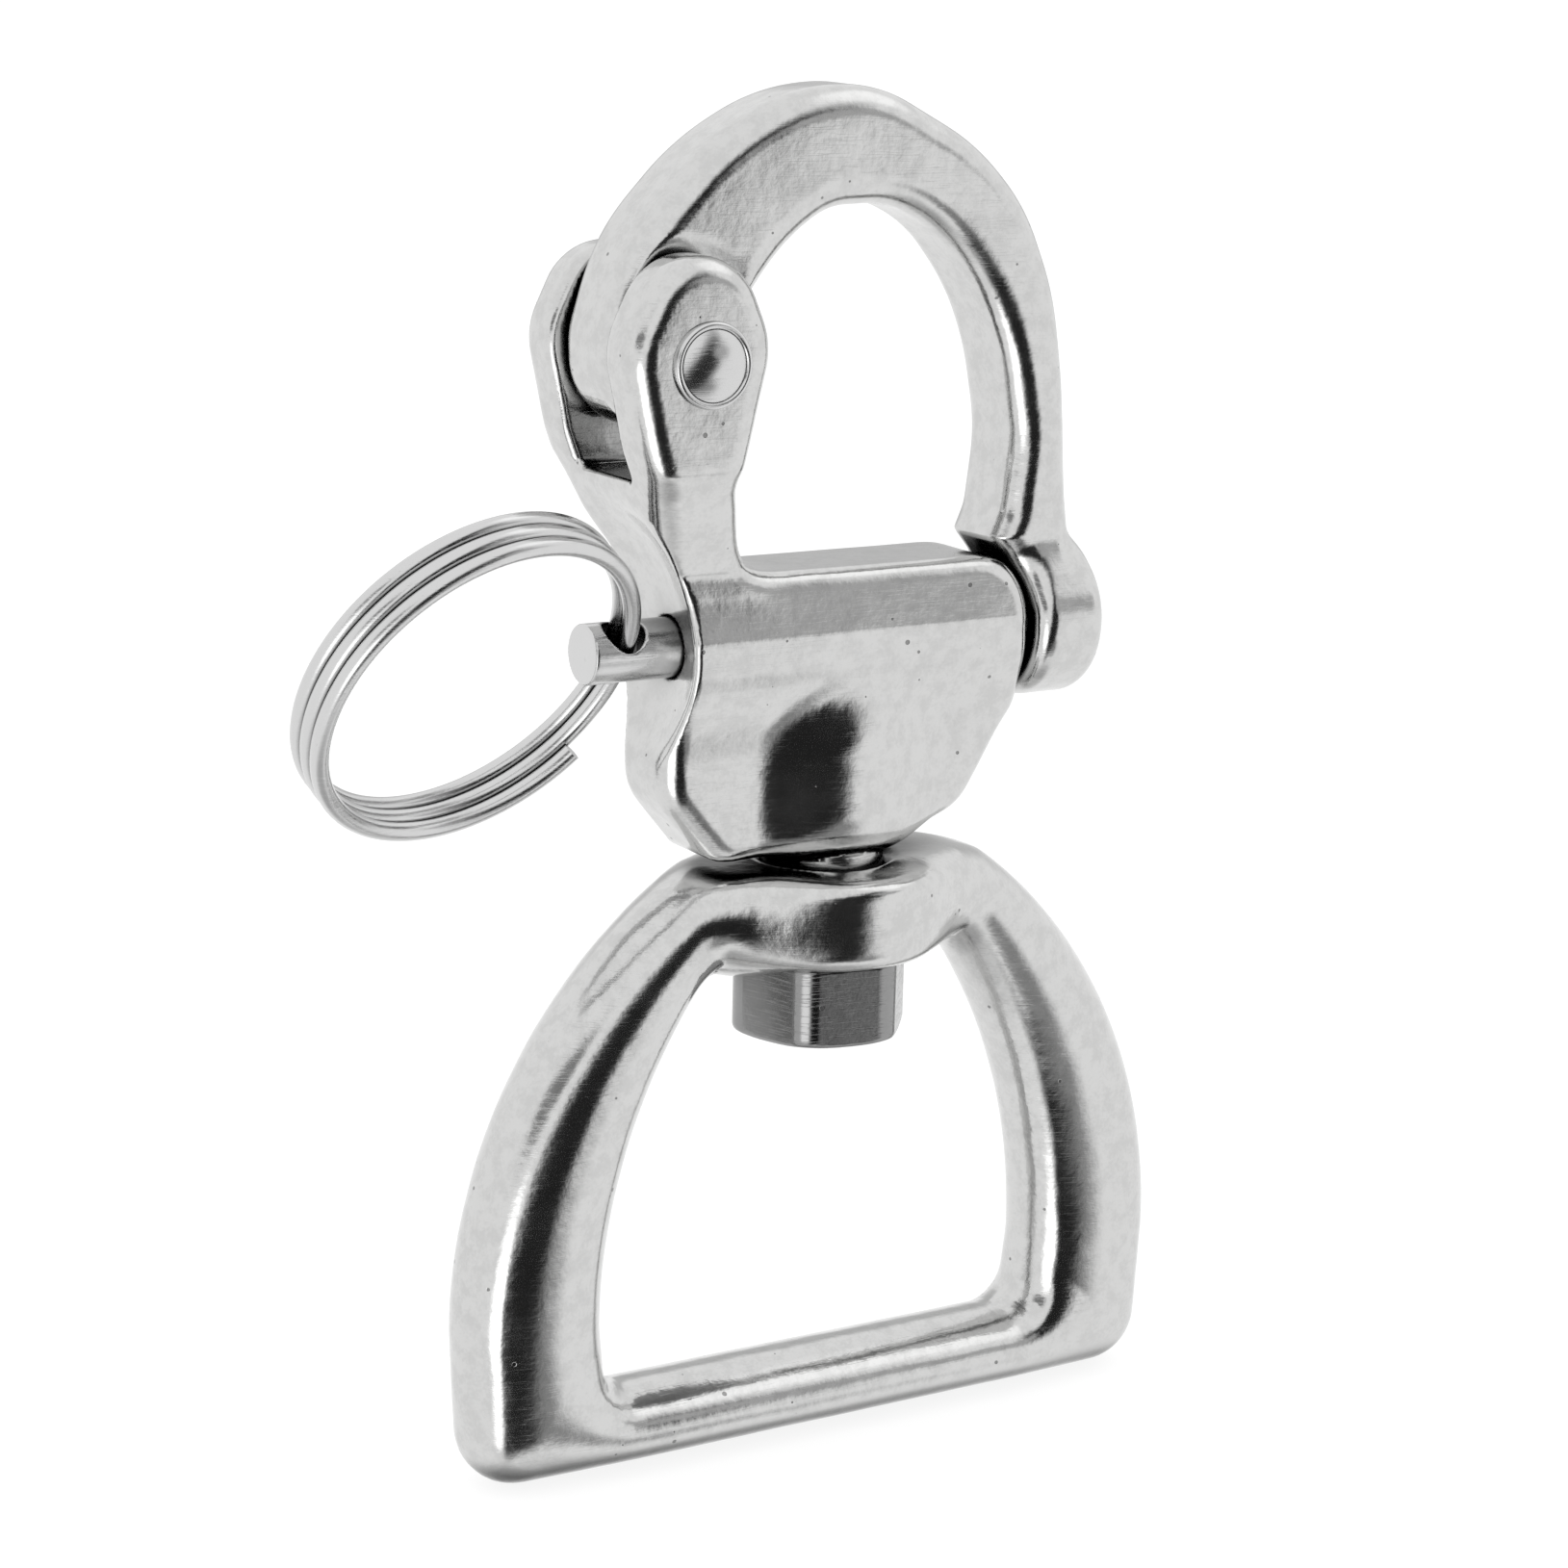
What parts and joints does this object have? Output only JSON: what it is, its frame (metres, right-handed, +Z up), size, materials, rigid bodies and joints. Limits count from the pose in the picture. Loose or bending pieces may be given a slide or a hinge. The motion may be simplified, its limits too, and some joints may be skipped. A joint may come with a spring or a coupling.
{
  "type": "swivel snap shackle with webbing bail",
  "caption": "Swivel snap shackle: hinged arched jaw locked by a spring plunger with a pull ring, on an eye that swivels over a D-shaped webbing bail.",
  "frame": {"origin": "on the swivel axis, in the flat underside of the webbing bar", "axes": "+Z up along the swivel axis, +X towards the jaw's latch side, -Y towards the viewer"},
  "size_m": [0.0671, 0.0179, 0.0917],
  "materials": {
    "cast_steel": "polished cast stainless steel with fine pits",
    "turned_steel": "turned and polished stainless steel",
    "bolt_steel": "cold-headed stainless steel",
    "wire_steel": "bright drawn stainless wire"
  },
  "bodies": {
    "bail": {"webbing_bail": "cast_steel"},
    "housing": {"body": "cast_steel", "hinge_rivet": "turned_steel", "swivel_bolt": "bolt_steel", "plunger_spring": "wire_steel"},
    "jaw": {"jaw": "cast_steel"},
    "plunger": {"plunger": "turned_steel"},
    "ring": {"split_ring": "wire_steel"}
  },
  "joints": [
    {"name": "swivel", "type": "hinge", "parent": "bail", "child": "housing", "pos_m": [0, 0, 0.0374], "axis": [0, 0, 1], "continuous": true},
    {"name": "jaw_hinge", "type": "hinge", "parent": "housing", "child": "jaw", "pos_m": [-0.0137, 0, 0.0749], "axis": [0, -1, 0], "range_deg": [0, 110]},
    {"name": "plunger_slide", "type": "slide", "parent": "housing", "child": "plunger", "axis": [1, 0, 0], "range_m": [-0.0006, 0.0023], "stiffness_N_per_m": 800, "springref_m": 0.006, "deforming": ["plunger_spring"]},
    {"name": "ring_swing", "type": "hinge", "parent": "plunger", "child": "ring", "pos_m": [-0.0161, 0, 0.0557], "axis": [0, -0.5299, 0.848], "range_deg": [-25, 12]}
  ]
}
